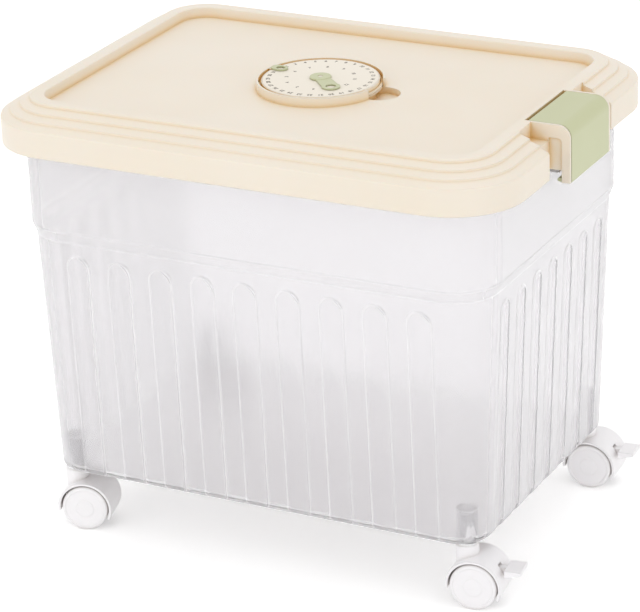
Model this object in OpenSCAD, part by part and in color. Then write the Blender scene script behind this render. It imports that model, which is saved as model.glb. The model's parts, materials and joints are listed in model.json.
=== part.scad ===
/* [Bin] */
// Length of the bin at its upper band
bin_length = 394; // [340:1:460]
// Width of the bin at its upper band
bin_width = 282; // [240:1:330]
// Height of the bin from its underside to the top of its rim
bin_height = 290; // [250:1:330]
// Corner radius of the upper band
bin_corner_r = 38; // [34:1:46]
// Wall thickness of the bin
bin_wall = 2.2; // [1.8:0.1:3]
// Height of the smooth upper band, from the shoulder to the rim
band_height = 82; // [60:1:100]
// Height of the shoulder slope
shoulder_height = 9; // [6:0.5:14]
// How far the wall steps in at the shoulder
shoulder_in = 3.5; // [2:0.25:5]
// How far the fluted wall leans in from the shoulder to the floor
wall_lean = 8; // [5:0.5:9]
// Reach of the rim flange past the wall
flange_reach = 13; // [10:0.5:14]
// Depth of the lip that turns down from the flange
flange_drop = 11; // [8:0.5:14]

/* [Flutes] */
// Number of flutes on a long side
flutes_long = 9; // [5:1:9]
// Spacing of the flutes on a long side
flute_pitch_long = 36; // [30:0.5:37]
// Number of flutes on a short side
flutes_short = 7; // [4:1:7]
// Spacing of the flutes on a short side
flute_pitch_short = 29.5; // [24:0.5:30]
// Width of a long-side flute
flute_width_long = 21; // [14:0.5:24]
// Width of a short-side flute
flute_width_short = 17; // [12:0.5:20]
// Depth of a flute
flute_depth = 2.6; // [1.6:0.1:3]
// Drop from the shoulder to the top of the arches
arch_drop = 10; // [6:0.5:20]

/* [Lid] */
// Gap between the bin wall and the outer face of the skirt, seen from above
lid_overhang = 18; // [17:0.5:22]
// Depth of the lid's skirt
skirt_depth = 21.5; // [18:0.5:26]
// Height of the lid from its lower edge to the top of its rim
lid_height = 35; // [32:0.5:40]
// Wall thickness of the lid
lid_wall = 2.4; // [1.8:0.1:3]
// Distance from the skirt's face in to the rim
step_run = 22.8; // [20:0.2:24]
// Width of the raised rim
rim_width = 11.7; // [9:0.1:13]
// Depth of the sunken panel below the rim
panel_depth = 8.6; // [6:0.2:10]
// How far the bin's rim stands up inside the lid
rim_overlap = 16; // [13:0.5:17]

/* [Latch] */
// Width of the latch button
latch_width = 71; // [56:1:80]
// Half the width of the notch in the lid round the latch
notch_half = 59; // [50:1:70]
// Thickness of the latch button
latch_wall = 2.6; // [2:0.1:3.2]
// How far the latch stands out past the skirt
latch_reach = 7.5; // [6:0.5:10]
// How far the latch hangs below the skirt
latch_hang = 9.5; // [8:0.5:13]
// Thickness of the cheeks beside the latch
cheek_wall = 2.6; // [2:0.1:4]
// Diameter of the latch pin
latch_pin_d = 3; // [2:0.1:4]

/* [Hinge] */
// Diameter of the hinge pin
hinge_pin_d = 3; // [2.4:0.1:3.6]
// Length of the hinge barrel, all knuckles together
hinge_length = 150; // [110:1:180]

/* [Dial] */
// Outside diameter of the collar on the panel
collar_d = 99; // [88:1:106]
// Wall of the collar
collar_wall = 1.6; // [1.4:0.1:2.4]
// Height of the collar above the panel
collar_height = 7.2; // [6:0.1:8.2]
// Diameter of the scoop that lets a finger reach the cap
scoop_d = 31; // [24:1:36]
// Depth of the basket that hangs under the cap
basket_depth = 20; // [12:1:30]

/* [Casters] */
// Height of a caster from the floor to the bin
caster_height = 50; // [48:0.5:56]
// Diameter of a wheel
wheel_d = 37; // [32:1:38]
// Width of a pair of wheels
caster_width = 35; // [30:1:38]
// Distance from the stem's axis to the axle
caster_trail = 8.5; // [6:0.5:10]
// Diameter of a stem
stem_d = 10; // [8:0.5:11]
// Diameter of an axle
axle_d = 6; // [4:0.5:7]
// Turn of the front left caster about its stem
turn_fl = 16; // [-40:1:40]
// Turn of the front right caster about its stem
turn_fr = 8; // [-40:1:40]
// Turn of the back left caster about its stem
turn_bl = 10; // [-40:1:40]
// Turn of the back right caster about its stem
turn_br = 4; // [-40:1:40]

/* [Hidden] */
$fn = 48;

cream = "#f0e4d4";
clear_grey = "#e3e2e6";
leaf_green = "#c8cca4";
soft_white = "#faf8fa";
steel = "#b8b8bc";

run_fit = 0.05;
free_gap = 0.4;

// Corner centres, shared by the bin and the lid
core_x = bin_length / 2 - bin_corner_r;
core_y = bin_width / 2 - bin_corner_r;

// Heights
bin_z = caster_height;
rim_z = bin_z + bin_height;
lid_z = rim_z - rim_overlap;
lid_top = lid_z + lid_height;
panel_z = lid_top - panel_depth;
shoulder_z = rim_z - band_height;
flute_z = shoulder_z - shoulder_height;

// Bin wall, as radii from the corner centres
band_r = bin_corner_r - 0.5;
fluted_r = band_r - shoulder_in;
floor_r = fluted_r - wall_lean;
flange_r = bin_corner_r + flange_reach;
floor_t = bin_wall + 0.3;
bottom_round = 4;

// Lid, as radii from the same corner centres
skirt_r = bin_corner_r + lid_overhang;
rim_out_r = skirt_r - step_run;
rim_in_r = rim_out_r - rim_width;
step_w = step_run / 3;
rise = (lid_height - 0.8 - skirt_depth) / 3;
band_rise = 0.6 * rise;
bands_z = lid_z + skirt_depth;
seal_mid_r = bin_corner_r + 3;
seal_half = 2.6;
seal_top = rim_z + 4;
rib_t = 1.6;

// Latch and hinge axes
latch_face_x = core_x + skirt_r + latch_reach;
latch_axis_x = core_x + rim_out_r + 0.3;
latch_knuckle_r = 4.3;
latch_axis_z = lid_top - latch_knuckle_r;
latch_low_z = lid_z - latch_hang;
latch_bend_r = 10;
pocket_x = core_x + rim_in_r + lid_wall + 2.6;
cheek_in = latch_width / 2 + free_gap;
cheek_out = cheek_in + cheek_wall;
shelf_z = seal_top + lid_wall;
recess_r = bin_corner_r + 8.4;
notch_wall_x = core_x + rim_out_r - 1;
striker_z = lid_z - 4.2;
striker_tip_x = latch_face_x - latch_wall - 9.4;

hinge_knuckle_r = hinge_pin_d / 2 + 1.8;
hinge_x = -(latch_face_x - hinge_knuckle_r);
hinge_z = lid_z + 3;
hinge_part = hinge_length / 5;

// Dial
collar_r = collar_d / 2;
well_r = collar_r - collar_wall;
ring_r = well_r - 0.3;
cap_r = ring_r - 2;
cap_top = lid_top - 1.7;
face_t = 0.6;
hole_r = cap_r - 4.5;
basket_r = hole_r - 0.5;
scoop_x = collar_r + 0.5;
scoop_depth = 5;
day_turn = -11;
day_r = 40;
window_l = 14;
window_w = 10;
month_turn = -45;
month_r = 25;
hub_r = 8.4;
lobe_r = 7.2;
neck_w = 11;
pointer_pin_r = 2;

// Casters
stem_r = stem_d / 2;
socket_r = stem_r + 3;
socket_in = floor_r - bin_wall - socket_r;
stem_x = core_x + 0.7 * socket_in;
stem_y = core_y + 0.72 * socket_in;
axle_r = axle_d / 2;
wheel_r = wheel_d / 2;
wheel_gap = 1.3;
hood_in_r = wheel_r + wheel_gap;
hood_t = 1.7;
hood_r = hood_in_r + hood_t;
hood_half = caster_width / 2 - 0.5;
web_half = stem_r + 1.4;
wheel_in = web_half + free_gap;
wheel_out = caster_width / 2 - 0.3;
collar_t = 1.4;
neck_top = bin_z - collar_t - 0.3;
neck_r = stem_r + 4;
stem_low = wheel_r + 10.5;
socket_depth = 24;
brake_x = 14.5;
brake_z = 9;
brake_pin_r = 1.25;
corner_fl = [-stem_x, -stem_y, turn_fl];
corner_fr = [stem_x, -stem_y, turn_fr];
corner_bl = [-stem_x, stem_y, turn_bl];
corner_br = [stem_x, stem_y, turn_br];

// Profile of the bin from the floor's edge up to the flange, as radius and height
module bin_profile() {
    inner_floor_r = floor_r - bin_wall;
    polygon([
        [8, bin_z], [floor_r - bottom_round, bin_z],
        for (a = [-75:15:0]) [floor_r - bottom_round + bottom_round * cos(a),
                              bin_z + bottom_round + bottom_round * sin(a)],
        [fluted_r, flute_z], [band_r, shoulder_z], [bin_corner_r, rim_z - bin_wall],
        [flange_r - bin_wall, rim_z - bin_wall], [flange_r - bin_wall, rim_z - flange_drop],
        [flange_r, rim_z - flange_drop], [flange_r, rim_z - 0.8], [flange_r - 0.8, rim_z],
        [bin_corner_r - bin_wall, rim_z], [band_r - bin_wall, shoulder_z + 0.4],
        [fluted_r - bin_wall, flute_z + 0.4],
        [inner_floor_r, bin_z + floor_t + 3], [inner_floor_r - 1.2, bin_z + floor_t + 0.9],
        [inner_floor_r - 3.5, bin_z + floor_t], [8, bin_z + floor_t]
    ]);
}

// Sweeps a radius and height profile round the rounded rectangle of corner centres
module sweep_round() {
    for (s = [0, 180]) rotate([0, 0, s]) {
        translate([core_x, 0, 0]) rotate([90, 0, 0])
            linear_extrude(2 * core_y, center = true) children();
        translate([0, core_y, 0]) rotate([90, 0, 90])
            linear_extrude(2 * core_x, center = true) children();
        translate([core_x, core_y, 0]) rotate_extrude(angle = 90) children();
        translate([-core_x, core_y, 0]) rotate([0, 0, 90]) rotate_extrude(angle = 90) children();
    }
}

// Flat plate with the outline of the swept shape at a given radius
module round_plate(r, z, t) {
    translate([0, 0, z]) linear_extrude(t) {
        square([2 * core_x + 2 * r, 2 * core_y], center = true);
        square([2 * core_x, 2 * core_y + 2 * r], center = true);
        for (x = [-core_x, core_x], y = [-core_y, core_y]) translate([x, y]) circle(r);
    }
}

wall_tilt = atan((fluted_r - floor_r) / (flute_z - bin_z - bottom_round));
arch_z = flute_z - arch_drop;

// Radius of the round cutter that leaves a flute of this width
function flute_r(width) = (width * width / 4 + flute_depth * flute_depth) / (2 * flute_depth);

// Long round-ended body that lies along one flute, grown by a margin
module flute_capsule(width, grow) {
    r = flute_r(width);
    run = arch_z - width / 2 - bin_z;
    translate([0, -(fluted_r - (flute_z - arch_z) * tan(wall_tilt)), arch_z - width / 2])
        rotate([wall_tilt, 0, 0]) translate([0, flute_depth - r, 0]) {
            sphere(r + grow);
            translate([0, 0, -run - 12]) cylinder(h = run + 12, r = r + grow);
        }
}

// Thin curved skin behind one flute, still solid at its front
module flute_skin(width) {
    intersection() {
        flute_capsule(width, bin_wall);
        translate([0, -fluted_r, flute_z]) rotate([wall_tilt, 0, 0])
            translate([-width, bin_wall / 2, -(flute_z - bin_z) + 0.6])
                cube([2 * width, flute_depth + bin_wall, flute_z - bin_z]);
    }
}

// Places one copy on each flute of the four sides
module each_flute() {
    for (s = [0, 180]) rotate([0, 0, s]) {
        for (i = [0:flutes_long - 1])
            translate([(i - (flutes_long - 1) / 2) * flute_pitch_long, -core_y, 0])
                flute_turn(flute_width_long) children();
        for (i = [0:flutes_short - 1])
            rotate([0, 0, 90]) translate([(i - (flutes_short - 1) / 2) * flute_pitch_short, -core_x, 0])
                flute_turn(flute_width_short) children();
    }
}

// Passes the flute's width on to the piece that is placed
module flute_turn(width) {
    $flute_width = width;
    children();
}

module caster_socket_solid(x, y) {
    translate([x, y, bin_z + 1.6]) cylinder(h = socket_depth + 1.4, r = socket_r);
}

// Knuckle and arm of the bin's half of the hinge
module bin_knuckle(y, length) {
    arm_t = 6;
    translate([hinge_x, y, hinge_z]) rotate([90, 0, 0])
        cylinder(h = length, r = hinge_knuckle_r, center = true);
    translate([hinge_x, y - length / 2, lid_z - 1 - arm_t])
        cube([-hinge_x - core_x - bin_corner_r + 1, length, arm_t]);
    translate([hinge_x - hinge_knuckle_r, y - length / 2, lid_z - 1 - arm_t])
        cube([2 * hinge_knuckle_r - 1, length, hinge_z - lid_z + 1 + arm_t]);
}

module bin_body() {
    color(clear_grey, 0.45) difference() {
        union() {
            sweep_round() bin_profile();
            round_plate(12, bin_z, floor_t);
            each_flute() flute_skin($flute_width);
            for (x = [-stem_x, stem_x], y = [-stem_y, stem_y]) caster_socket_solid(x, y);
            for (y = [-2, 0, 2]) bin_knuckle(y * hinge_part, hinge_part - free_gap);
            translate([core_x + bin_corner_r - 1.5, -cheek_in + 4, striker_z])
                cube([striker_tip_x - core_x - bin_corner_r + 1.5, 2 * cheek_in - 8, 3]);
        }
        each_flute() flute_capsule($flute_width, 0);
        for (x = [-stem_x, stem_x], y = [-stem_y, stem_y])
            translate([x, y, bin_z - 1]) cylinder(h = socket_depth + 1, r = stem_r + run_fit);
        translate([hinge_x, 0, hinge_z]) rotate([90, 0, 0])
            cylinder(h = hinge_length + 2, r = hinge_pin_d / 2 + run_fit, center = true);
        translate([core_x + recess_r - lid_wall - 0.4, -notch_half - 4, rim_z - flange_drop - 1])
            cube([40, 2 * notch_half + 8, flange_drop + 2]);
    }
}

// Three sloping bands of the lid, each as two points, shifted in and down
function lid_bands(dr, dz) = [
    for (i = [0:2]) each [
        [skirt_r - i * step_w - (i == 0 ? 2 : 0.3) - dr, bands_z + i * rise - dz],
        [skirt_r - (i + 1) * step_w - dr, bands_z + i * rise + band_rise - dz]
    ]
];

// Outer face of the lid from the skirt's lower edge in to the panel
function lid_face() = concat(
    [[skirt_r, lid_z], [skirt_r, bands_z - 2], [skirt_r - 0.6, bands_z - 0.6]],
    lid_bands(0, 0),
    [[rim_out_r - 0.2, lid_top - 0.8], [rim_out_r - 1.8, lid_top],
     [rim_in_r + 0.7, lid_top], [rim_in_r, lid_top - 0.7]]
);

// Underside of the lid from the rim out to the skirt
function lid_back() = concat(
    [[rim_in_r + lid_wall, panel_z - lid_wall], [rim_in_r + lid_wall, lid_top - lid_wall],
     [rim_out_r - lid_wall - 0.2, lid_top - lid_wall]],
    [for (i = [5:-1:0]) lid_bands(2.2, 1.9)[i]],
    [[skirt_r - lid_wall, bands_z - 2.6], [skirt_r - lid_wall, lid_z]]
);

function seal_roof(r) = bands_z + (skirt_r - r) / step_w * rise - 2.2;

module lid_profile() {
    polygon(concat(lid_face(), [[rim_in_r, panel_z - lid_wall]], lid_back()));
}

// Two ribs under the lid with the groove that holds the seal
module seal_rib_profile() {
    r_in = seal_mid_r - seal_half - rib_t;
    r_out = seal_mid_r + seal_half + rib_t;
    polygon([
        [r_in, rim_z + 1.5], [r_in, seal_roof(r_in)], [r_out, seal_roof(r_out)],
        [r_out, rim_z + 1.5], [seal_mid_r + seal_half, rim_z + 1.5],
        [seal_mid_r + seal_half, seal_top], [seal_mid_r - seal_half, seal_top],
        [seal_mid_r - seal_half, rim_z + 1.5]
    ]);
}

// Box between two x, two y and two z values
module span(x0, x1, y0, y1, z0, z1) {
    translate([x0, y0, z0]) cube([x1 - x0, y1 - y0, z1 - z0]);
}

// Extrudes an outline in x and z along y, from y0 to y1
module along_y(y0, y1) {
    translate([0, y1, 0]) rotate([90, 0, 0]) linear_extrude(y1 - y0) children();
}

// Walls that close the lid's section where it is cut for the latch
module notch_walls() {
    intersection() {
        along_y(-notch_half - lid_wall, notch_half + lid_wall) translate([core_x, 0])
            polygon(concat(lid_face(), [[rim_in_r, shelf_z - lid_wall],
                [recess_r - lid_wall, shelf_z - lid_wall], [recess_r - lid_wall, lid_z]]));
        union() {
            span(pocket_x - lid_wall, pocket_x, -cheek_out, cheek_out, lid_z, lid_top);
            for (m = [0, 1]) mirror([0, m, 0]) {
                span(notch_wall_x - lid_wall, notch_wall_x, cheek_in, notch_half + 1, lid_z, lid_top);
                span(pocket_x - lid_wall, latch_face_x, notch_half, notch_half + lid_wall,
                     lid_z, lid_top);
            }
        }
    }
    span(pocket_x - lid_wall, core_x + recess_r, -notch_half - 1, notch_half + 1,
         shelf_z - lid_wall, shelf_z);
    span(core_x + recess_r - lid_wall, core_x + recess_r, -notch_half - 1, notch_half + 1,
         lid_z, shelf_z);
}

// Solid angle piece with a round outer corner, in x and z
module angle_outline(x0, x1, z0, z1, r) {
    translate([x0, z0]) square([x1 - r - x0, z1 - z0]);
    translate([x0, z0]) square([x1 - x0, z1 - r - z0]);
    translate([x1 - r, z1 - r]) circle(r);
}

module cheek_outline() {
    front = latch_face_x - 0.3;
    difference() {
        angle_outline(pocket_x - 1.5, front, lid_z - 9, lid_top, latch_bend_r);
        angle_outline(pocket_x - 9, front - 6.6, lid_z - 12, lid_top - 10, 3);
    }
    translate([pocket_x - 1.5, shelf_z - 1])
        square([core_x + recess_r - pocket_x + 1.5, lid_top - 9 - shelf_z]);
}

module lid_cover() {
    color(cream) difference() {
        union() {
            difference() {
                union() {
                    sweep_round() lid_profile();
                    sweep_round() seal_rib_profile();
                    round_plate(rim_in_r + 1, panel_z - lid_wall, lid_wall);
                }
                span(pocket_x, latch_face_x, -cheek_in, cheek_in, shelf_z, lid_top + 1);
                span(notch_wall_x, latch_face_x, -notch_half, notch_half, shelf_z, lid_top + 1);
                span(core_x + recess_r, latch_face_x, -notch_half, notch_half, lid_z - 1, lid_top + 1);
            }
            notch_walls();
            for (m = [0, 1]) mirror([0, m, 0]) {
                along_y(cheek_in, cheek_out) cheek_outline();
                span(core_x + recess_r - 1, latch_face_x - 5.5, cheek_in, cheek_in + 1.2,
                     lid_z, lid_top - 6);
            }
            for (y = [-1, 1]) lid_knuckle(y * hinge_part);
            translate([0, 0, panel_z - 1]) cylinder(h = collar_height + 1, r = collar_r);
            translate([0, 0, panel_z - 6.5]) cylinder(h = 5.5, r = hole_r + 1.8);
            translate([scoop_x, 1.5, panel_z - scoop_depth - 1.8])
                cylinder(h = scoop_depth + 1, r = scoop_d / 2 + 1.8);
        }
        translate([0, 0, panel_z]) cylinder(h = collar_height + 1, r = well_r);
        translate([0, 0, panel_z - 12]) cylinder(h = 14, r = hole_r);
        difference() {
            translate([scoop_x, 1.5, panel_z - scoop_depth]) cylinder(h = 20, r = scoop_d / 2);
            translate([0, 0, panel_z - 20]) cylinder(h = 40, r = hole_r + 2.2);
        }
        translate([latch_axis_x, 0, latch_axis_z]) rotate([90, 0, 0])
            cylinder(h = 2 * cheek_out - 1.2, r = latch_pin_d / 2 + run_fit, center = true);
        translate([hinge_x, 0, hinge_z]) rotate([90, 0, 0])
            cylinder(h = hinge_length + 2, r = hinge_pin_d / 2 + run_fit, center = true);
    }
}

// Knuckle of the lid's half of the hinge
module lid_knuckle(y) {
    half = (hinge_part - free_gap) / 2;
    translate([hinge_x, y, hinge_z]) rotate([90, 0, 0])
        cylinder(h = 2 * half, r = hinge_knuckle_r, center = true);
    span(hinge_x, -(core_x + skirt_r) + 1.2, y - half, y + half,
         lid_z, hinge_z + hinge_knuckle_r);
}

module lid_seal() {
    r0 = seal_mid_r - seal_half + 0.05;
    r1 = seal_mid_r + seal_half - 0.05;
    color("#d9d6cf") sweep_round() polygon([
        [r0, rim_z + 1.2], [r0 + 0.9, rim_z + 0.3], [r0 + 1.8, rim_z + 0.3],
        [r0 + 2.1, rim_z + 1], [r1 - 2.1, rim_z + 1], [r1 - 1.8, rim_z + 0.3],
        [r1 - 0.9, rim_z + 0.3], [r1, rim_z + 1.2], [r1, seal_top], [r0, seal_top]
    ]);
}

module hinge_pin() {
    color(steel) translate([hinge_x, 0, hinge_z]) rotate([90, 0, 0])
        cylinder(h = hinge_length - 1, r = hinge_pin_d / 2, center = true);
}

module latch_button() {
    low_in = striker_tip_x + 0.5;
    color(leaf_green) difference() {
        union() {
            along_y(-latch_width / 2, latch_width / 2) {
                difference() {
                    angle_outline(latch_axis_x - 4, latch_face_x, latch_low_z + 1, lid_top,
                                  latch_bend_r);
                    angle_outline(latch_axis_x - 6, latch_face_x - latch_wall, latch_low_z - 1,
                                  lid_top - latch_wall, latch_bend_r - latch_wall);
                }
                translate([latch_axis_x, latch_axis_z]) circle(latch_knuckle_r);
                translate([low_in + 1.3, latch_low_z])
                    square([latch_face_x - low_in - 2.6, 2.6]);
                translate([low_in + 1.6, latch_low_z + 1.6]) circle(1.6);
                translate([latch_face_x - 1.4, latch_low_z + 1.4]) circle(1.4);
            }
            for (y = [-22, 0, 22]) along_y(y - 0.9, y + 0.9) polygon([
                [latch_axis_x + 2, lid_top - 1.5], [latch_face_x - 1.5, lid_top - 8],
                [latch_face_x - 1.5, lid_z + 2], [latch_face_x - 5, lid_z + 4],
                [latch_face_x - 9, lid_top - 11], [latch_axis_x + 8, lid_top - 7]
            ]);
        }
        translate([latch_axis_x, 0, latch_axis_z]) rotate([90, 0, 0])
            cylinder(h = latch_width + 2, r = latch_pin_d / 2 + run_fit, center = true);
    }
}

module latch_pin() {
    color(steel) translate([latch_axis_x, 0, latch_axis_z]) rotate([90, 0, 0])
        cylinder(h = 2 * cheek_out - 1.6, r = latch_pin_d / 2, center = true);
}

module dial_cap() {
    color(cream) difference() {
        rotate_extrude() polygon([
            [0, cap_top - 2.2], [cap_r - 1.6, cap_top - 2.2], [cap_r - 1.6, panel_z + 0.3],
            [well_r - 0.5, panel_z + 0.3], [well_r - 0.5, panel_z + 1.5], [cap_r, panel_z + 1.5],
            [cap_r, cap_top - 0.5], [cap_r - 0.5, cap_top], [0, cap_top]
        ]);
        translate([0, 0, cap_top - face_t]) cylinder(h = 2, r = cap_r - 0.9);
        translate([0, 0, cap_top - 4]) cylinder(h = 8, r = pointer_pin_r + run_fit);
    }
}

module dial_face() {
    color("#f4ece0") difference() {
        translate([0, 0, cap_top - face_t]) cylinder(h = face_t, r = cap_r - 1);
        translate([0, 0, cap_top - 2]) cylinder(h = 4, r = pointer_pin_r + run_fit);
    }
}

module day_ring() {
    color(cream) difference() {
        union() {
            translate([0, 0, panel_z + 1.8]) cylinder(h = 1.6, r = ring_r);
            intersection() {
                translate([0, 0, panel_z + 1.8])
                    cylinder(h = cap_top - panel_z - 1.5, r = ring_r);
                rotate([0, 0, day_turn]) span(-ring_r - 1, -ring_r + 4, -4, 4, panel_z, lid_top);
            }
        }
        translate([0, 0, panel_z]) cylinder(h = 12, r = cap_r + 0.3);
    }
}

module day_window() {
    color(leaf_green) rotate([0, 0, day_turn]) translate([-day_r, 0, cap_top + 0.3]) difference() {
        linear_extrude(1.2) oval_outline(window_l, window_w);
        translate([1.2, 0, -1]) linear_extrude(4) oval_outline(window_l - 6.4, window_w - 3.8);
    }
}

// Round-ended outline along x
module oval_outline(l, w) {
    square([l - w, w], center = true);
    for (x = [-1, 1]) translate([x * (l - w) / 2, 0]) circle(w / 2);
}

module month_pointer() {
    lift = cap_top + 0.3;
    color(leaf_green) rotate([0, 0, month_turn]) difference() {
        union() {
            translate([0, 0, lift]) cylinder(h = 1, r = hub_r);
            translate([0, 0, lift + 1]) cylinder(h = 0.4, r1 = hub_r, r2 = hub_r - 0.4);
            translate([month_r, 0, lift]) cylinder(h = 1, r = lobe_r);
            translate([0, 0, lift]) linear_extrude(1)
                polygon([[0, -neck_w / 2], [month_r, -lobe_r + 0.6], [month_r, lobe_r - 0.6],
                         [0, neck_w / 2]]);
        }
        translate([month_r, 0, lift - 1]) cylinder(h = 4, r = lobe_r - 3.2);
        translate([0, 0, lift - 1]) cylinder(h = 6, r = pointer_pin_r + run_fit);
    }
}

module pointer_pin() {
    color(cream) {
        translate([0, 0, cap_top - 3.4]) cylinder(h = lid_top - 0.3 - cap_top + 3.4, r = pointer_pin_r);
        translate([0, 0, cap_top - 3.4]) cylinder(h = 1.15, r = pointer_pin_r + 2);
    }
}

module vent_basket() {
    floor_z = panel_z - basket_depth;
    color(cream) difference() {
        rotate_extrude() polygon([
            [0, floor_z], [basket_r - 1, floor_z], [basket_r, floor_z + 1],
            [basket_r, panel_z], [cap_r - 2.2, panel_z], [cap_r - 2.2, panel_z + 1.4],
            [basket_r - 1.6, panel_z + 1.4], [basket_r - 1.6, floor_z + 1.6], [0, floor_z + 1.6]
        ]);
        for (i = [0:11]) rotate([0, 0, 30 * i]) span(11, 33, -1.6, 1.6, floor_z - 1, floor_z + 3);
        for (i = [0:23]) rotate([0, 0, 15 * i])
            span(basket_r - 4, basket_r + 2, -2, 2, floor_z + 4, panel_z - 3.5);
    }
}

// Moves one caster's pieces from their own axes to a corner of the bin
module at_corner(corner) {
    translate([corner[0], corner[1], 0]) rotate([0, 0, corner[2]]) children();
}

module caster_stem() {
    top = bin_z + socket_depth - 1;
    color(steel) rotate_extrude() polygon([
        [0, stem_low], [stem_r - 0.7, stem_low], [stem_r, stem_low + 0.7], [stem_r, stem_low + 2.5],
        [stem_r - 0.6, stem_low + 2.5], [stem_r - 0.6, stem_low + 3.7], [stem_r, stem_low + 3.7],
        [stem_r, bin_z - collar_t], [stem_r + 3.6, bin_z - collar_t], [stem_r + 3.6, bin_z],
        [stem_r, bin_z], [stem_r, top - 1.2], [stem_r - 1.2, top], [0, top]
    ]);
}

// Disc along y, centred on the axle
module axle_disc(r, half) {
    translate([caster_trail, 0, wheel_r]) rotate([90, 0, 0])
        cylinder(h = 2 * half, r = r, center = true);
}

module caster_hood(braked) {
    far = 60;
    color(soft_white) difference() {
        union() {
            intersection() {
                axle_disc(hood_r, hood_half);
                translate([caster_trail, 0, wheel_r]) along_y(-hood_half - 1, hood_half + 1)
                    polygon([[0, 0], [far * cos(-24), far * sin(-24)], [far, far], [-far, far],
                             [-far, -far * tan(6)]]);
            }
            axle_disc(axle_r + 4, web_half);
            translate([0, 0, wheel_r + 12]) cylinder(h = neck_top - wheel_r - 12 - 1.2, r = neck_r);
            translate([0, 0, neck_top - 1.2]) cylinder(h = 1.2, r1 = neck_r, r2 = neck_r - 1);
        }
        for (y = [-1, 1]) translate([0, y * (web_half + 20), 0]) axle_disc(hood_in_r, 20);
        translate([0, 0, stem_low - 0.8]) cylinder(h = caster_height, r = stem_r + run_fit);
        axle_disc(axle_r + run_fit, web_half + 1);
        if (braked) {
            translate([caster_trail, 0, wheel_r])
                span(brake_x - 3.8, hood_r + 6, -3.1, 3.1, brake_z - 4.6, brake_z + 5.4);
            translate([caster_trail + brake_x, 0, wheel_r + brake_z]) rotate([90, 0, 0])
                cylinder(h = 2 * web_half - 1.6, r = brake_pin_r + run_fit, center = true);
        }
    }
}

module caster_axle() {
    color(steel) axle_disc(axle_r, wheel_out - 3);
}

// Wheel with a closed outer face, a hub, a tread and six ribs behind the face
module caster_wheel(side) {
    w = wheel_out - wheel_in;
    color(soft_white) translate([caster_trail, side * wheel_in, wheel_r]) rotate([-90 * side, 0, 0])
        union() {
            rotate_extrude() polygon([
                [axle_r + run_fit, 0], [axle_r + 3.2, 0], [axle_r + 3.2, w - 2.4],
                [wheel_r - 3, w - 2.4], [wheel_r - 3, 0.6], [wheel_r - 0.9, 0.6],
                [wheel_r - 0.2, 1.2], [wheel_r, 2.2], [wheel_r, w - 2.2], [wheel_r - 0.3, w - 1.1],
                [wheel_r - 1.2, w - 0.3], [wheel_r - 2.6, w], [wheel_r - 3.2, w - 0.5],
                [7.4, w - 0.5], [6.8, w - 0.1], [0, w], [0, w - 2.4], [axle_r + run_fit, w - 2.4]
            ]);
            for (i = [0:5]) rotate([0, 0, 60 * i])
                span(axle_r + 2.6, wheel_r - 2.4, -0.8, 0.8, 2, w - 2);
        }
}

module brake_lever() {
    color(soft_white) translate([caster_trail, 0, wheel_r]) difference() {
        union() {
            along_y(-2.7, 2.7) {
                translate([brake_x, brake_z]) circle(3.2);
                polygon([[brake_x - 1, brake_z + 3], [hood_r + 3, brake_z + 4.2],
                         [hood_r + 3, brake_z], [brake_x, brake_z - 3]]);
            }
            along_y(-10, 10) {
                polygon([[hood_r + 1, brake_z + 4.4], [hood_r + 13.4, brake_z + 4.4],
                         [hood_r + 14.4, brake_z + 3], [hood_r + 13.4, brake_z + 2.2],
                         [hood_r + 4, brake_z - 0.8], [hood_r + 1, brake_z - 0.8]]);
            }
        }
        translate([brake_x, 0, brake_z]) rotate([90, 0, 0])
            cylinder(h = 12, r = brake_pin_r + run_fit, center = true);
    }
}

module brake_pin() {
    color(steel) translate([caster_trail + brake_x, 0, wheel_r + brake_z]) rotate([90, 0, 0])
        cylinder(h = 2 * web_half - 2, r = brake_pin_r, center = true);
}

bin_body();
lid_cover();
lid_seal();
hinge_pin();
latch_button();
latch_pin();
dial_cap();
dial_face();
day_ring();
day_window();
month_pointer();
pointer_pin();
vent_basket();
at_corner(corner_fl) caster_stem();  // fl_stem
at_corner(corner_fl) caster_hood(false);  // fl_hood
at_corner(corner_fl) caster_axle();  // fl_axle
at_corner(corner_fl) caster_wheel(-1);  // fl_wheel_near
at_corner(corner_fl) caster_wheel(1);  // fl_wheel_far
at_corner(corner_fr) caster_stem();  // fr_stem
at_corner(corner_fr) caster_hood(true);  // fr_hood
at_corner(corner_fr) caster_axle();  // fr_axle
at_corner(corner_fr) caster_wheel(-1);  // fr_wheel_near
at_corner(corner_fr) caster_wheel(1);  // fr_wheel_far
at_corner(corner_fr) brake_lever();  // fr_brake
at_corner(corner_fr) brake_pin();  // fr_brake_pin
at_corner(corner_bl) caster_stem();  // bl_stem
at_corner(corner_bl) caster_hood(false);  // bl_hood
at_corner(corner_bl) caster_axle();  // bl_axle
at_corner(corner_bl) caster_wheel(-1);  // bl_wheel_near
at_corner(corner_bl) caster_wheel(1);  // bl_wheel_far
at_corner(corner_br) caster_stem();  // br_stem
at_corner(corner_br) caster_hood(true);  // br_hood
at_corner(corner_br) caster_axle();  // br_axle
at_corner(corner_br) caster_wheel(-1);  // br_wheel_near
at_corner(corner_br) caster_wheel(1);  // br_wheel_far
at_corner(corner_br) brake_lever();  // br_brake
at_corner(corner_br) brake_pin();  // br_brake_pin
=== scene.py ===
"""Dresses the rolling rice bin: clear fluted bin, cream flip lid, green latch, date dial and casters."""

from __future__ import annotations

import json
import logging
import math
from dataclasses import dataclass
from enum import Enum

import bmesh
import bpy
from mathutils import Matrix, Vector

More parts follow.
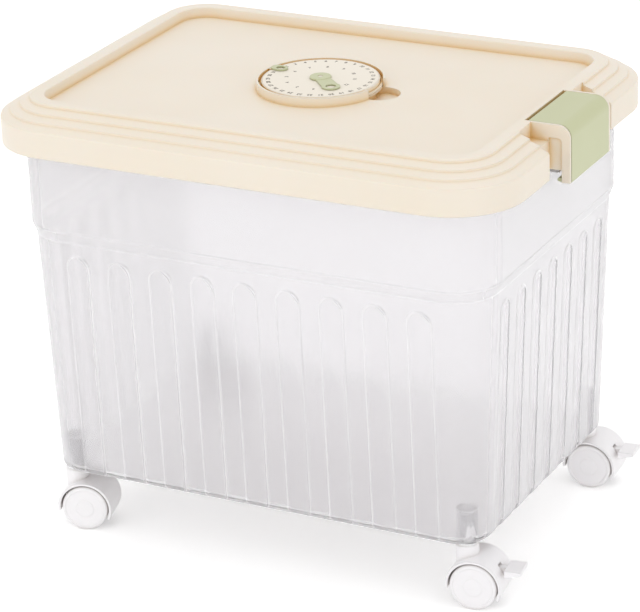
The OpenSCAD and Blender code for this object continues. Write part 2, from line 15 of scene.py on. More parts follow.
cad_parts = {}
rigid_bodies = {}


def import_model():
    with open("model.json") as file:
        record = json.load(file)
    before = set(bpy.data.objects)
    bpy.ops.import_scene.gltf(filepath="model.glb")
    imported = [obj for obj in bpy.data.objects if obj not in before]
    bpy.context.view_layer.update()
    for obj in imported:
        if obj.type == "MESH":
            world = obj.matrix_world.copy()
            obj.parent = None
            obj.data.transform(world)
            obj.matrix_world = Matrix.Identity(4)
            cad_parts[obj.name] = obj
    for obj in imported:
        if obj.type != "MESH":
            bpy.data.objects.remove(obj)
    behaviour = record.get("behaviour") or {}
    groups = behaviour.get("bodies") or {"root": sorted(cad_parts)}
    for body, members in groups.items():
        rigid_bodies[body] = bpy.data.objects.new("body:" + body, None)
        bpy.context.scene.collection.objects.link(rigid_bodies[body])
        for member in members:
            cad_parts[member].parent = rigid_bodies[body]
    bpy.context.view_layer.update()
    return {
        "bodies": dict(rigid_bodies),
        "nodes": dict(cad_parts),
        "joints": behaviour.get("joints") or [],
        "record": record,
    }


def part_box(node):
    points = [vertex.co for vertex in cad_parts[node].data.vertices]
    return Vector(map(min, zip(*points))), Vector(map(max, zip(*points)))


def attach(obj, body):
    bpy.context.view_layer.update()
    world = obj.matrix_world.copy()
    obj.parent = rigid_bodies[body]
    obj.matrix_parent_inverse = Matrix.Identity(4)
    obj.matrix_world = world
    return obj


LOG = logging.getLogger("rice_bin")
MM = 0.001
Colour = tuple[float, float, float]
Place = tuple[float, float, float]
WHITE_LIGHT = (1.0, 1.0, 1.0, 1.0)


class Slot(str, Enum):
    """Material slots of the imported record."""

    CLEAR = "clear"
    CREAM = "cream"
    GREEN = "green"
    WHITE = "white"
    STEEL = "steel"
    SEAL = "seal"
    PRINT = "print"


class Corner(str, Enum):
    """Corners of the bin, named as the CAD nodes are."""

    FRONT_LEFT = "fl"
    FRONT_RIGHT = "fr"
    BACK_LEFT = "bl"
    BACK_RIGHT = "br"


BRAKED_CORNERS = (Corner.FRONT_RIGHT, Corner.BACK_RIGHT)


def screen_colour(red: int, green: int, blue: int) -> Colour:
    """Turns a colour read off a screen into the linear values that shaders use.

    Args:
        red: Red from 0 to 255.
        green: Green from 0 to 255.
        blue: Blue from 0 to 255.

    Returns:
        The same colour in linear light.
    """

    def linear(value: float) -> float:
        """Undoes the screen's gamma for one channel, by the sRGB formula."""
        value /= 255
        return value / 12.92 if value <= 0.04045 else ((value + 0.055) / 1.055) ** 2.4

    return linear(red), linear(green), linear(blue)


class NodeSheet:
    """Short way to place and join nodes in one node tree."""

    def __init__(self, tree: bpy.types.NodeTree) -> None:
        """Keeps the tree and empties it."""
        self.tree = tree
        self.tree.nodes.clear()

    def add(self, kind: str, settings: dict[str, object] | None = None,
            feeds: dict[str | int, object] | None = None) -> bpy.types.Node:
        """Places one node.

        Args:
            kind: Blender's type name of the node.
            settings: Properties of the node to set.
            feeds: What goes into the node's inputs, by name or number: an output or a plain value.

        Returns:
            The new node.
        """
        node = self.tree.nodes.new(kind)
        for name, value in (settings or {}).items():
            setattr(node, name, value)
        for key, source in (feeds or {}).items():
            self.feed(node.inputs[key], source)
        return node

    def feed(self, target: bpy.types.NodeSocket, source: object) -> None:
        """Fills one input.

        Args:
            target: The input.
            source: An output to link to it, or the plain value that it gets.
        """
        if isinstance(source, bpy.types.NodeSocket):
            self.tree.links.new(source, target)
        else:
            target.default_value = source

    def calculate(self, operation: str, *terms: object) -> bpy.types.NodeSocket:
        """Places a maths node.

        Args:
            operation: Blender's name of the operation.
            terms: Its terms in order, each an output or a plain number.

        Returns:
            The result.
        """
        node = self.add("ShaderNodeMath", {"operation": operation}, dict(enumerate(terms)))
        return node.outputs[0]

    def blend(self, share: object, first: object, second: object) -> bpy.types.NodeSocket:
        """Places a mix of two colours.

        Args:
            share: Share of the second colour, from 0 to 1.
            first: The colour at share 0.
            second: The colour at share 1.

        Returns:
            The mixed colour.
        """
        node = self.add("ShaderNodeMix", {"data_type": "RGBA"}, {"Factor": share, "A": first, "B": second})
        return node.outputs["Result"]


class EffectGroup:
    """A shader effect that several materials share, built once and then placed with its own values."""

    name: str = "effect"
    inputs: dict[str, tuple[str, object]] = {}
    outputs: dict[str, str] = {}
    made: dict[str, bpy.types.ShaderNodeTree] = {}

    @classmethod
    def tree(cls) -> bpy.types.ShaderNodeTree:
        """Gives the group's tree, and builds it the first time.

        Returns:
            The shared node tree.
        """
        if cls.name not in EffectGroup.made:
            tree = bpy.data.node_groups.new(cls.name, "ShaderNodeTree")
            for name, (kind, value) in cls.inputs.items():
                socket = tree.interface.new_socket(name, in_out="INPUT", socket_type=kind)
                socket.default_value = value
            for name, kind in cls.outputs.items():
                tree.interface.new_socket(name, in_out="OUTPUT", socket_type=kind)
            sheet = NodeSheet(tree)
            cls.wire(sheet, sheet.add("NodeGroupInput"), sheet.add("NodeGroupOutput"))
            EffectGroup.made[cls.name] = tree
        return EffectGroup.made[cls.name]

    @classmethod
    def place(cls, sheet: NodeSheet, feeds: dict[str, object]) -> bpy.types.Node:
        """Puts the group into a material.

        Args:
            sheet: The material's node sheet.
            feeds: What goes into the group's inputs in this material, outputs or plain values.

        Returns:
            The placed group node.
        """
        return sheet.add("ShaderNodeGroup", {"node_tree": cls.tree()}, feeds)

    @classmethod
    def wire(cls, sheet: NodeSheet, inner: bpy.types.Node, outer: bpy.types.Node) -> None:
        """Builds the inside of the group, which each effect does for itself.

        Args:
            sheet: The group's node sheet.
            inner: The node that gives the group's inputs.
            outer: The node that takes the group's outputs.
        """
        raise NotImplementedError


class MouldGrain(EffectGroup):
    """Height of a spark-eroded mould surface: fine grain over a slow ripple of shrinkage."""

    name = "mould_grain"
    inputs = {"Grain Scale": ("NodeSocketFloat", 1800.0),
              "Ripple Scale": ("NodeSocketFloat", 14.0),
              "Ripple": ("NodeSocketFloat", 0.5)}
    outputs = {"Height": "NodeSocketFloat"}
    fine_height: float = 0.12

    @classmethod
    def wire(cls, sheet: NodeSheet, inner: bpy.types.Node, outer: bpy.types.Node) -> None:
        """Adds a fine noise to a broad one, weighted by Ripple."""
        place = sheet.add("ShaderNodeTexCoord").outputs["Object"]
        fine = sheet.add("ShaderNodeTexNoise", feeds={
            "Vector": place, "Scale": inner.outputs["Grain Scale"], "Detail": 2.0, "Roughness": 0.6})
        broad = sheet.add("ShaderNodeTexNoise", feeds={
            "Vector": place, "Scale": inner.outputs["Ripple Scale"], "Detail": 1.0})
        ripple = sheet.calculate("MULTIPLY", broad.outputs["Fac"], inner.outputs["Ripple"])
        height = sheet.calculate("MULTIPLY_ADD", fine.outputs["Fac"], cls.fine_height, ripple)
        sheet.feed(outer.inputs["Height"], height)


class ToneDrift(EffectGroup):
    """Slow change between two close tones, as pigment spreads in a moulding."""

    name = "tone_drift"
    inputs = {"Colour": ("NodeSocketColor", (0.8, 0.8, 0.8, 1)),
              "Other": ("NodeSocketColor", (0.7, 0.7, 0.7, 1)),
              "Scale": ("NodeSocketFloat", 6.0),
              "Amount": ("NodeSocketFloat", 0.5)}
    outputs = {"Colour": "NodeSocketColor"}

    @classmethod
    def wire(cls, sheet: NodeSheet, inner: bpy.types.Node, outer: bpy.types.Node) -> None:
        """Mixes the two colours by a broad noise."""
        place = sheet.add("ShaderNodeTexCoord").outputs["Object"]
        noise = sheet.add("ShaderNodeTexNoise", feeds={
            "Vector": place, "Scale": inner.outputs["Scale"], "Detail": 3.0, "Roughness": 0.55})
        spread = sheet.add("ShaderNodeMapRange", feeds={
            "Value": noise.outputs["Fac"], "From Min": 0.35, "From Max": 0.65})
        share = sheet.calculate("MULTIPLY", spread.outputs["Result"], inner.outputs["Amount"])
        mixed = sheet.blend(share, inner.outputs["Colour"], inner.outputs["Other"])
        sheet.feed(outer.inputs["Colour"], mixed)


class SoftEdge(EffectGroup):
    """Normal that rounds the sharp arrises of a moulding, and a mask of where they are."""

    name = "soft_edge"
    inputs = {"Radius": ("NodeSocketFloat", 0.0008),
              "Onset": ("NodeSocketFloat", 0.98),
              "Full": ("NodeSocketFloat", 0.80)}
    outputs = {"Normal": "NodeSocketVector", "Edge": "NodeSocketFloat"}
    samples: int = 4

    @classmethod
    def wire(cls, sheet: NodeSheet, inner: bpy.types.Node, outer: bpy.types.Node) -> None:
        """Compares the rounded normal with the plain one to mask the edges."""
        bevel = sheet.add("ShaderNodeBevel", {"samples": cls.samples}, {"Radius": inner.outputs["Radius"]})
        plain = sheet.add("ShaderNodeNewGeometry")
        dot = sheet.add("ShaderNodeVectorMath", {"operation": "DOT_PRODUCT"}, {
            0: bevel.outputs["Normal"], 1: plain.outputs["Normal"]})
        mask = sheet.add("ShaderNodeMapRange", feeds={
            "Value": dot.outputs["Value"], "From Min": inner.outputs["Onset"],
            "From Max": inner.outputs["Full"]})
        sheet.feed(outer.inputs["Normal"], bevel.outputs["Normal"])
        sheet.feed(outer.inputs["Edge"], mask.outputs["Result"])


class HandlingHaze(EffectGroup):
    """Roughness that hands and wiping leave: faint patches and fine streaks."""

    name = "handling_haze"
    inputs = {"Roughness": ("NodeSocketFloat", 0.35),
              "Haze": ("NodeSocketFloat", 0.1),
              "Scale": ("NodeSocketFloat", 22.0)}
    outputs = {"Roughness": "NodeSocketFloat"}
    squeeze: Place = (1.0, 1.0, 0.35)
    noise_middle: float = 0.5

    @classmethod
    def wire(cls, sheet: NodeSheet, inner: bpy.types.Node, outer: bpy.types.Node) -> None:
        """Adds noise that is stretched upright to the plain roughness."""
        place = sheet.add("ShaderNodeTexCoord").outputs["Object"]
        stretch = sheet.add("ShaderNodeMapping", feeds={"Vector": place, "Scale": cls.squeeze})
        noise = sheet.add("ShaderNodeTexNoise", feeds={
            "Vector": stretch.outputs["Vector"], "Scale": inner.outputs["Scale"],
            "Detail": 6.0, "Roughness": 0.65, "Distortion": 0.4})
        centred = sheet.calculate("SUBTRACT", noise.outputs["Fac"], cls.noise_middle)
        hazed = sheet.calculate("MULTIPLY_ADD", centred, inner.outputs["Haze"], inner.outputs["Roughness"])
        sheet.feed(outer.inputs["Roughness"], hazed)


class RecessTint(EffectGroup):
    """Painted shade: a warm, darker tone mixed into the colour where ambient occlusion finds a recess or a
    tight corner, standing in for the shade and warm bounced light there.
    """

    name = "painted_recess_shade"
    inputs = {"Colour": ("NodeSocketColor", (0.8, 0.8, 0.8, 1)),
              "Painted Shade": ("NodeSocketColor", (0.6, 0.4, 0.2, 1)),
              "Reach": ("NodeSocketFloat", 0.014),
              "Amount": ("NodeSocketFloat", 0.5),
              "Onset": ("NodeSocketFloat", 0.72),
              "Full": ("NodeSocketFloat", 0.22)}
    outputs = {"Colour": "NodeSocketColor"}
    samples: int = 6

    @classmethod
    def wire(cls, sheet: NodeSheet, inner: bpy.types.Node, outer: bpy.types.Node) -> None:
        """Mixes in the painted shade colour where little of the surroundings is seen."""
        openness = sheet.add("ShaderNodeAmbientOcclusion", {"samples": cls.samples}, {
            "Distance": inner.outputs["Reach"]})
        depth = sheet.add("ShaderNodeMapRange", feeds={
            "Value": openness.outputs["AO"], "From Min": inner.outputs["Onset"],
            "From Max": inner.outputs["Full"]})
        share = sheet.calculate("MULTIPLY", depth.outputs["Result"], inner.outputs["Amount"])
        mixed = sheet.blend(share, inner.outputs["Colour"], inner.outputs["Painted Shade"])
        sheet.feed(outer.inputs["Colour"], mixed)


def fresh_material(name: str) -> tuple[bpy.types.Material, NodeSheet, bpy.types.Node, bpy.types.Node]:
    """Starts a material with its Principled shader and output joined.

    Args:
        name: Name of the material.

    Returns:
        The material, its node sheet, the shader and the output node.
    """
    material = bpy.data.materials.new(name)
    material.use_nodes = True
    sheet = NodeSheet(material.node_tree)
    shader = sheet.add("ShaderNodeBsdfPrincipled")
    output = sheet.add("ShaderNodeOutputMaterial", feeds={"Surface": shader.outputs["BSDF"]})
    return material, sheet, shader, output


def surroundings_mask(sheet: NodeSheet) -> bpy.types.NodeSocket:
    """Tells the rays that show the surroundings from those that only light the bin.

    Args:
        sheet: Node sheet of the world or of a material.

    Returns:
        1 for a ray from the camera, mirrored or passed through, and 0 for any other.
    """
    path = sheet.add("ShaderNodeLightPath")
    seen = sheet.calculate("MAXIMUM", path.outputs["Is Camera Ray"], path.outputs["Is Glossy Ray"])
    return sheet.calculate("MAXIMUM", seen, path.outputs["Is Transmission Ray"])


@dataclass(frozen=True)
class Finish:
    """What the finishes share: two close tones, a hazed gloss and a fine grain. Lengths are in metres."""

    name: str
    colour: Colour
    other: Colour
    ior: float = 1.5
    drift_scale: float = 7.0
    drift_amount: float = 0.6
    roughness: float = 0.38
    haze: float = 0.12
    haze_scale: float = 24.0
    grain: float = 0.10
    grain_depth: float = 0.0012
    grain_scale: float = 1900.0
    ripple: float = 0.5
    ripple_scale: float = 16.0

    def build(self) -> bpy.types.Material:
        """Makes the material, which each kind of finish does for itself.

        Returns:
            The finished material.
        """
        raise NotImplementedError

    def start(self) -> tuple[bpy.types.Material, NodeSheet, bpy.types.Node, bpy.types.Node]:
        """Starts the material with its gloss.

        Returns:
            The material, its node sheet, the shader and the output node.
        """
        material, sheet, shader, output = fresh_material(self.name)
        haze = HandlingHaze.place(sheet, {
            "Roughness": self.roughness, "Haze": self.haze, "Scale": self.haze_scale})
        sheet.feed(shader.inputs["IOR"], self.ior)
        sheet.feed(shader.inputs["Roughness"], haze.outputs["Roughness"])
        return material, sheet, shader, output

    def drifting_tone(self, sheet: NodeSheet) -> bpy.types.NodeSocket:
        """Mixes the two tones of the finish.

        Args:
            sheet: The material's node sheet.

        Returns:
            The colour before edges and recesses.
        """
        drift = ToneDrift.place(sheet, {
            "Colour": (*self.colour, 1), "Other": (*self.other, 1),
            "Scale": self.drift_scale, "Amount": self.drift_amount})
        return drift.outputs["Colour"]

    def add_grain(self, sheet: NodeSheet, shader: bpy.types.Node,
                  under: bpy.types.NodeSocket | None = None) -> None:
        """Lays the grain on the surface.

        Args:
            sheet: The material's node sheet.
            shader: The shader that gets the grain.
            under: Normal that the grain lies on, or None for the mesh's own.
        """
        grain = MouldGrain.place(sheet, {
            "Grain Scale": self.grain_scale, "Ripple Scale": self.ripple_scale, "Ripple": self.ripple})
        bump = sheet.add("ShaderNodeBump", feeds={
            "Strength": self.grain, "Distance": self.grain_depth, "Height": grain.outputs["Height"]})
        if under is not None:
            sheet.feed(bump.inputs["Normal"], under)
        sheet.feed(shader.inputs["Normal"], bump.outputs["Normal"])


@dataclass(frozen=True)
class MouldedPlastic(Finish):
    """Opaque satin plastic with mould grain, pigment drift, softly rounded arrises, painted shade in its
    recesses and creases and painted highlights on its edges.
    """

    ior: float = 1.49
    subsurface: float = 0.0
    subsurface_reach: float = 0.003
    subsurface_spread: Colour = (1.0, 0.62, 0.36)
    edge_radius: float = 0.0008
    # Painted highlight: the arrises are lightened towards this colour by this amount.
    edge_light: Colour = (1.0, 1.0, 1.0)
    edge_amount: float = 0.12
    # Painted shade: the recess colour is mixed in where recesses and creases hold shade, by the amounts
    # and reaches below.
    recess: Colour = (0.5, 0.5, 0.5)
    recess_amount: float = 0.3
    recess_reach: float = 0.014
    crease_amount: float = 0.3
    crease_reach: float = 0.0035
    crease_onset: float = 0.95
    crease_full: float = 0.45

    def build(self) -> bpy.types.Material:
        """Makes the material, with painted warm shade in recesses, tighter painted shade in creases and
        painted highlights on edges over its tone.

        Returns:
            The finished material.
        """
        material, sheet, shader, _ = self.start()
        if self.subsurface > 0:
            sheet.feed(shader.inputs["Subsurface Weight"], self.subsurface)
            sheet.feed(shader.inputs["Subsurface Scale"], self.subsurface_reach)
            sheet.feed(shader.inputs["Subsurface Radius"], self.subsurface_spread)
        edge = SoftEdge.place(sheet, {"Radius": self.edge_radius})
        # Painted shade: the recess colour darkens first the deeper recesses, then the tight creases.
        recess_shaded = RecessTint.place(sheet, {
            "Colour": self.drifting_tone(sheet), "Painted Shade": (*self.recess, 1),
            "Reach": self.recess_reach, "Amount": self.recess_amount})
        crease_shaded = RecessTint.place(sheet, {
            "Colour": recess_shaded.outputs["Colour"], "Painted Shade": (*self.recess, 1),
            "Reach": self.crease_reach, "Amount": self.crease_amount,
            "Onset": self.crease_onset, "Full": self.crease_full})
        # Painted highlight: the edge mask lightens the colour at the arrises.
        edge_highlight_share = sheet.calculate("MULTIPLY", edge.outputs["Edge"], self.edge_amount)
        tone = sheet.blend(edge_highlight_share, crease_shaded.outputs["Colour"], (*self.edge_light, 1))
        sheet.feed(shader.inputs["Base Color"], tone)
        self.add_grain(sheet, shader, edge.outputs["Normal"])
        return material


@dataclass(frozen=True)
class ClearPlastic(Finish):
    """Clear, slightly milky polypropylene that passes light on to what is behind it."""

    ior: float = 1.28
    drift_scale: float = 9.0
    drift_amount: float = 0.5
    roughness: float = 0.24
    haze: float = 0.10
    haze_scale: float = 18.0
    grain: float = 0.025
    grain_scale: float = 900.0
    ripple: float = 1.0
    ripple_scale: float = 26.0
    clear_share: float = 0.80
    clear_share_edge: float = 0.20
    slant_blend: float = 0.35
    slant_onset: float = 0.25
    # Painted highlight: the line settings turn the flute edges paler and less clear.
    line_radius: float = 0.0016
    line_onset: float = 0.998
    line_full: float = 0.965
    line_share: float = 0.30
    line_colour: Colour = (1.0, 0.995, 1.0)
    shadow_tint: Colour = (0.975, 0.972, 0.978)

    def build(self) -> bpy.types.Material:
        """Makes the material, with shadow rays let through so that the inside stays lit.

        Returns:
            The finished material.
        """
        material, sheet, shader, output = self.start()
        slant = sheet.add("ShaderNodeLayerWeight", feeds={"Blend": self.slant_blend})
        share = sheet.add("ShaderNodeMapRange", feeds={
            "Value": slant.outputs["Facing"], "From Min": self.slant_onset,
            "To Min": self.clear_share, "To Max": self.clear_share_edge})
        # Painted highlight: along the flute edges the colour goes towards the line colour and the clear
        # share drops.
        line = SoftEdge.place(sheet, {
            "Radius": self.line_radius, "Onset": self.line_onset, "Full": self.line_full})
        line_clear_share = sheet.add("ShaderNodeMix", {"data_type": "FLOAT"}, {
            "Factor": line.outputs["Edge"], "A": share.outputs["Result"], "B": self.line_share})
        line_highlighted = sheet.blend(line.outputs["Edge"], self.drifting_tone(sheet), (*self.line_colour, 1))
        sheet.feed(shader.inputs["Transmission Weight"], line_clear_share.outputs["Result"])
        sheet.feed(shader.inputs["Base Color"], line_highlighted)
        self.add_grain(sheet, shader)
        path = sheet.add("ShaderNodeLightPath")
        through = sheet.add("ShaderNodeBsdfTransparent", feeds={"Color": (*self.shadow_tint, 1)})
        mix = sheet.add("ShaderNodeMixShader", feeds={
            0: path.outputs["Is Shadow Ray"], 1: shader.outputs["BSDF"], 2: through.outputs["BSDF"]})
        sheet.feed(output.inputs["Surface"], mix.outputs["Shader"])
        return material


@dataclass(frozen=True)
class DrawnSteel(Finish):
    """Drawn wire and turned rod: a very fine grain and a light tarnish."""

    drift_scale: float = 160.0
    drift_amount: float = 0.7
    roughness: float = 0.28
    haze: float = 0.2
    haze_scale: float = 300.0
    grain: float = 0.2
    grain_depth: float = 0.0004
    grain_scale: float = 5200.0
    ripple: float = 0.3
    ripple_scale: float = 240.0

    def build(self) -> bpy.types.Material:
        """Makes the material.

        Returns:
            The finished material.
        """
        material, sheet, shader, _ = self.start()
        sheet.feed(shader.inputs["Metallic"], 1.0)
        sheet.feed(shader.inputs["Base Color"], self.drifting_tone(sheet))
        self.add_grain(sheet, shader)
        return material


@dataclass(frozen=True)
class Silicone(Finish):
    """Milky silicone of the lid's seal, with a dry satin skin."""

    ior: float = 1.41
    drift_scale: float = 30.0
    drift_amount: float = 0.5
    roughness: float = 0.55
    haze: float = 0.15
    haze_scale: float = 60.0
    grain: float = 0.3
    grain_depth: float = 0.0006
    grain_scale: float = 2600.0
    ripple: float = 0.4
    ripple_scale: float = 60.0
    subsurface: float = 0.4
    subsurface_reach: float = 0.002

    def build(self) -> bpy.types.Material:
        """Makes the material.

        Returns:
            The finished material.
        """
        material, sheet, shader, _ = self.start()
        sheet.feed(shader.inputs["Subsurface Weight"], self.subsurface)
        sheet.feed(shader.inputs["Subsurface Scale"], self.subsurface_reach)
        sheet.feed(shader.inputs["Base Color"], self.drifting_tone(sheet))
        self.add_grain(sheet, shader)
        return material


@dataclass(frozen=True)
class DialInk(Finish):
    """Pad-printed ink: matt and without grain, a little uneven where it thins out."""

    drift_scale: float = 900.0
    roughness: float = 0.6
    haze: float = 0.1
    haze_scale: float = 400.0
    shine: float = 0.3

    def build(self) -> bpy.types.Material:
        """Makes the material.

        Returns:
            The finished material.
        """
        material, sheet, shader, _ = self.start()
        sheet.feed(shader.inputs["Specular IOR Level"], self.shine)
        sheet.feed(shader.inputs["Base Color"], self.drifting_tone(sheet))
        return material


class Finishes:
    """Every finish of the bin, made once and handed out by slot."""

    def __init__(self) -> None:
        """Builds all the materials."""
        # Painted shade: each moulded plastic's recess colour and amounts below darken its recesses and
        # creases.
        plan: dict[Slot, Finish] = {
            # Painted highlight: the clear plastic's flute edges are painted paler by its line settings.
            Slot.CLEAR: ClearPlastic(
                "clear_polypropylene", colour=(0.957, 0.948, 0.960), other=(0.944, 0.934, 0.946)),
            # Painted highlight: the edge colours and amounts below lighten the arrises.
            Slot.CREAM: MouldedPlastic(
                "cream_polypropylene", colour=screen_colour(242, 232, 217),
                other=screen_colour(239, 227, 208), subsurface=0.12,
                edge_light=screen_colour(250, 245, 234),
                recess=screen_colour(230, 190, 112), recess_amount=0.85, crease_amount=0.5),
            Slot.GREEN: MouldedPlastic(
                "leaf_green_plastic", colour=screen_colour(202, 205, 165),
                other=screen_colour(196, 198, 156), roughness=0.34,
                edge_light=screen_colour(228, 230, 204), edge_amount=0.35,
                recess=screen_colour(158, 160, 112), recess_amount=0.5),
            Slot.WHITE: MouldedPlastic(
                "white_nylon", colour=screen_colour(252, 250, 251),
                other=screen_colour(248, 246, 248), roughness=0.32, edge_radius=0.0006,
                recess=screen_colour(206, 198, 192), recess_amount=0.3),
            Slot.STEEL: DrawnSteel("drawn_steel", colour=(0.80, 0.80, 0.81), other=(0.66, 0.65, 0.64)),
            Slot.SEAL: Silicone(
                "seal_silicone", colour=screen_colour(222, 219, 210), other=screen_colour(212, 208, 198)),
            Slot.PRINT: MouldedPlastic(
                "dial_disc_plastic", colour=screen_colour(246, 238, 224),
                other=screen_colour(242, 233, 217), roughness=0.5, grain=0.05,
                edge_radius=0.0002, recess_amount=0.0, crease_amount=0.0),
        }
        ink = DialInk("dial_ink", colour=screen_colour(72, 62, 50), other=screen_colour(112, 100, 84))
        self.by_slot = {slot: finish.build() for slot, finish in plan.items()}
        self.ink = ink.build()

    def dress(self, node: bpy.types.Object, slot: Slot) -> None:
        """Gives a CAD node its material.

        Args:
            node: The node's object.
            slot: Slot that the record gives it.
        """
        node.data.materials.clear()
        node.data.materials.append(self.by_slot[slot])


@dataclass
class SubAssembly:
    """A group of CAD nodes that are dressed together, with the scene's own pieces on them."""

    frame: dict[str, object]
    finishes: Finishes

    def build(self) -> None:
        """Dresses the group and adds its pieces, which each group does for itself."""
        raise NotImplementedError

    def dress_nodes(self, slots: dict[str, Slot]) -> None:
        """Puts a material on each named CAD node.

        Args:
            slots: Slot for each node's name.
        """
        for name, slot in slots.items():
            self.finishes.dress(self.frame["nodes"][name], slot)
            LOG.info("dressed %s as %s", name, slot.value)

    def add_piece(self, name: str, mesh: bpy.types.Mesh, body: str, slot: Slot,
                  material: bpy.types.Material) -> None:
        """Links a mesh as a piece that rides on a body.

        Args:
            name: Name of the piece.
            mesh: Its mesh, in the row frame.
            body: The CAD body that carries it.
            slot: The record's slot that it belongs to; not used.
            material: Its material.
        """
        piece = bpy.data.objects.new(name, mesh)
        bpy.context.scene.collection.objects.link(piece)
        mesh.materials.clear()
        mesh.materials.append(material)
        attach(piece, body)
        LOG.info("built %s on %s, %d faces", name, body, len(mesh.polygons))


class Bin(SubAssembly):
    """The clear bin with its hinge pin."""

    def build(self) -> None:
        """Dresses the bin and the pin of its hinge."""
        self.dress_nodes({"bin_body": Slot.CLEAR, "hinge_pin": Slot.STEEL})


class Lid(SubAssembly):
    """The cream lid with its seal, the vent basket and the latch's pin."""

    def build(self) -> None:
        """Dresses the lid and what is fixed to it."""
        self.dress_nodes({"lid_cover": Slot.CREAM, "lid_seal": Slot.SEAL, "vent_basket": Slot.CREAM,
                          "latch_pin": Slot.STEEL})


class Latch(SubAssembly):
    """The green angle latch."""

    def build(self) -> None:
        """Dresses the latch."""
        self.dress_nodes({"latch_button": Slot.GREEN})


@dataclass(frozen=True)
class NumberRing:
    """Numbers from 1 up, set round a circle with their tops outward. Angles are seen from above."""

    name: str
    count: int
    radius: float
    type_size: float
    start_angle: float


@dataclass
class Dial(SubAssembly):
    """The date dial: cap, printed disc with its numbers, day window and month pointer."""

    days: NumberRing = NumberRing("day_numbers", 31, 40.2 * MM, 4.4 * MM, 169.0)
    months: NumberRing = NumberRing("month_numbers", 12, 26.5 * MM, 4.0 * MM, -45.0)
    ink_height: float = 0.06 * MM
    ink_spread: float = 0.09 * MM
    curve_steps: int = 3

    def build(self) -> None:
        """Dresses the dial's nodes and prints its numbers."""
        self.dress_nodes({"dial_cap": Slot.CREAM, "dial_face": Slot.PRINT, "pointer_pin": Slot.CREAM,
                          "day_ring": Slot.CREAM, "day_window": Slot.GREEN, "month_pointer": Slot.GREEN})
        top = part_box("dial_face")[1].z
        for ring in (self.days, self.months):
            self.add_piece(ring.name, self.ring_mesh(ring, top), "cap", Slot.PRINT, self.finishes.ink)

    def ring_mesh(self, ring: NumberRing, top: float) -> bpy.types.Mesh:
        """Sets the numbers of one ring.

        Args:
            ring: The ring to print.
            top: Height of the printed face.

        Returns:
            One mesh with all the numbers.
        """
        joined = bmesh.new()
        for number in range(1, ring.count + 1):
            angle = math.radians(ring.start_angle - 360 * (number - 1) / ring.count)
            middle = Vector((ring.radius * math.cos(angle), ring.radius * math.sin(angle), top))
            mesh = self.number_mesh(str(number), ring.type_size)
            mesh.transform(Matrix.Translation(middle) @ Matrix.Rotation(angle - math.pi / 2, 4, "Z"))
            joined.from_mesh(mesh)
            bpy.data.meshes.remove(mesh)
        done = bpy.data.meshes.new(ring.name)
        joined.to_mesh(done)
        joined.free()
        return done

    def number_mesh(self, digits: str, size: float) -> bpy.types.Mesh:
        """Makes one number as thin raised ink, centred on the origin.

        Args:
            digits: The number as written.
            size: Type size.

        Returns:
            Its mesh.
        """
        curve = bpy.data.curves.new("digits", "FONT")
        curve.body = digits
        curve.size = size
        curve.align_x = "CENTER"
        curve.align_y = "CENTER"
        curve.offset = self.ink_spread
        curve.extrude = self.ink_height / 2
        curve.resolution_u = self.curve_steps
        holder = bpy.data.objects.new("digits", curve)
        bpy.context.scene.collection.objects.link(holder)
        bpy.context.view_layer.update()
        mesh = bpy.data.meshes.new_from_object(holder.evaluated_get(bpy.context.evaluated_depsgraph_get()))
        bpy.data.objects.remove(holder)
        bpy.data.curves.remove(curve)
        return mesh


@dataclass
class Caster(SubAssembly):
    """One twin-wheel caster under a corner of the bin."""

    corner: Corner = Corner.FRONT_LEFT

    def build(self) -> None:
        """Dresses the caster's nodes."""
        prefix = self.corner.value
        slots = {f"{prefix}_stem": Slot.STEEL, f"{prefix}_hood": Slot.WHITE, f"{prefix}_axle": Slot.STEEL,
                 f"{prefix}_wheel_near": Slot.WHITE, f"{prefix}_wheel_far": Slot.WHITE}
        if self.corner in BRAKED_CORNERS:
            slots |= {f"{prefix}_brake": Slot.WHITE, f"{prefix}_brake_pin": Slot.STEEL}
        self.dress_nodes(slots)


@dataclass(frozen=True)
class SoftLamp:
    """A square area lamp. Place and side are in metres, the power is in watts."""

    name: str
    place: Place
    side: float
    power: float

    def hang(self, aim: Place) -> None:
        """Hangs the lamp.

        Args:
            aim: The point that it faces.
        """
        lamp = bpy.data.lights.new(self.name, "AREA")
        lamp.shape = "SQUARE"
        lamp.size = self.side
        lamp.energy = self.power
        holder = bpy.data.objects.new(self.name, lamp)
        bpy.context.scene.collection.objects.link(holder)
        holder.location = self.place
        holder.rotation_mode = "QUATERNION"
        holder.rotation_quaternion = (Vector(aim) - Vector(self.place)).to_track_quat("-Z", "Y")


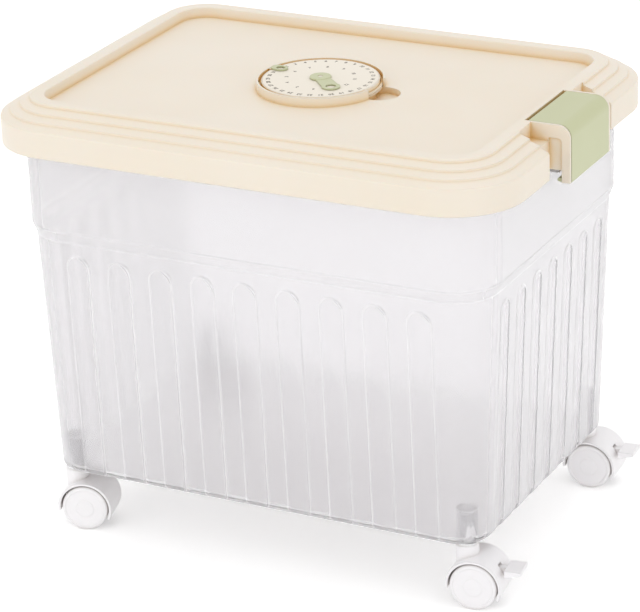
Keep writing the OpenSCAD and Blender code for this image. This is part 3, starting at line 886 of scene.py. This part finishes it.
@dataclass(frozen=True)
class Studio:
    """White floor, white surroundings and soft lamps at a plain level."""

    world_strength: float = 0.84
    floor_size: float = 60.0
    floor_drop: float = 0.2 * MM
    floor_tone: float = 0.97
    floor_glow: float = 0.31
    aim: Place = (0.0, 0.0, 0.18)
    lamps: tuple[SoftLamp, ...] = (
        SoftLamp("key_lamp", (-1.1, -2.6, 1.0), 1.8, 11.0),
        SoftLamp("side_lamp", (2.7, -0.8, 1.1), 1.6, 7.0),
        SoftLamp("top_lamp", (0.1, 0.3, 3.0), 2.0, 6.0),
    )

    def build(self) -> None:
        """Makes the world, the floor and the lamps."""
        self.build_world()
        self.build_floor()
        for lamp in self.lamps:
            lamp.hang(self.aim)
        bpy.context.scene.view_settings.view_transform = "Standard"

    def build_world(self) -> None:
        """Sets even light all round that looks plain white to the camera and in reflections."""
        world = bpy.data.worlds.new("studio_world")
        world.use_nodes = True
        bpy.context.scene.world = world
        sheet = NodeSheet(world.node_tree)
        strength = sheet.add("ShaderNodeMapRange", feeds={
            "Value": surroundings_mask(sheet), "To Min": self.world_strength, "To Max": 1.0})
        light = sheet.add("ShaderNodeBackground", feeds={
            "Color": WHITE_LIGHT, "Strength": strength.outputs["Result"]})
        sheet.add("ShaderNodeOutputWorld", feeds={"Surface": light.outputs["Background"]})

    def build_floor(self) -> None:
        """Lays a white floor that keeps the bin's shadow."""
        half = self.floor_size / 2
        corners = [(-half, -half, 0), (half, -half, 0), (half, half, 0), (-half, half, 0)]
        mesh = bpy.data.meshes.new("studio_floor")
        mesh.from_pydata(corners, [], [(0, 1, 2, 3)])
        floor = bpy.data.objects.new("studio_floor", mesh)
        bpy.context.scene.collection.objects.link(floor)
        floor.location.z = -self.floor_drop
        material, sheet, shader, _ = fresh_material("studio_floor")
        sheet.feed(shader.inputs["Base Color"], (self.floor_tone,) * 3 + (1,))
        sheet.feed(shader.inputs["Roughness"], 1.0)
        sheet.feed(shader.inputs["Specular IOR Level"], 0.0)
        sheet.feed(shader.inputs["Emission Color"], WHITE_LIGHT)
        glow = sheet.calculate("MULTIPLY", surroundings_mask(sheet), self.floor_glow)
        sheet.feed(shader.inputs["Emission Strength"], glow)
        mesh.materials.append(material)


@dataclass(frozen=True)
class PhotoCamera:
    """Camera at the photograph's own place, found from the lid's and the bin's edges.

    Angles are in degrees, the distance and the target in metres, the sensor's width in millimetres.
    """

    azimuth: float = 27.99
    elevation: float = 22.55
    roll: float = -2.16
    distance: float = 2.5729
    target: Place = (-0.02525, 0.0, 0.16436)
    focal_px: float = 3253.6
    image_width: int = 640
    image_height: int = 612
    middle_px: tuple[float, float] = (300.0, 305.9)
    sensor_width: float = 36.0
    clip_near: float = 0.05
    clip_far: float = 80.0

    def build(self) -> None:
        """Makes the camera and sets it as the scene's."""
        lens = bpy.data.cameras.new("photo_camera")
        lens.sensor_width = self.sensor_width
        lens.lens = self.focal_px * self.sensor_width / self.image_width
        lens.shift_x = (self.image_width / 2 - self.middle_px[0]) / self.image_width
        lens.shift_y = (self.middle_px[1] - self.image_height / 2) / self.image_width
        lens.clip_start = self.clip_near
        lens.clip_end = self.clip_far
        lens.dof.use_dof = False
        camera = bpy.data.objects.new("photo_camera", lens)
        bpy.context.scene.collection.objects.link(camera)
        camera.matrix_world = self.stand()
        bpy.context.scene.camera = camera

    def stand(self) -> Matrix:
        """Works out where the camera is and how it is turned.

        Returns:
            The camera's matrix in the row frame.
        """
        azimuth = math.radians(self.azimuth)
        elevation = math.radians(self.elevation)
        roll = math.radians(self.roll)
        back = Vector((math.sin(azimuth) * math.cos(elevation), -math.cos(azimuth) * math.cos(elevation),
                       math.sin(elevation)))
        right = Vector((math.cos(azimuth), math.sin(azimuth), 0.0))
        up = back.cross(right)
        turned_right = right * math.cos(roll) + up * math.sin(roll)
        turned_up = up * math.cos(roll) - right * math.sin(roll)
        turn = Matrix((turned_right, turned_up, back)).transposed()
        return Matrix.Translation(Vector(self.target) + back * self.distance) @ turn.to_4x4()


def main() -> None:
    """Builds and dresses the whole scene."""
    logging.basicConfig(level=logging.INFO, format="%(message)s")
    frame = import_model()
    finishes = Finishes()
    PhotoCamera().build()
    for group in (Bin, Lid, Latch, Dial):
        group(frame, finishes).build()
    for corner in Corner:
        Caster(frame, finishes, corner).build()
    Studio().build()


if __name__ == "__main__":
    main()
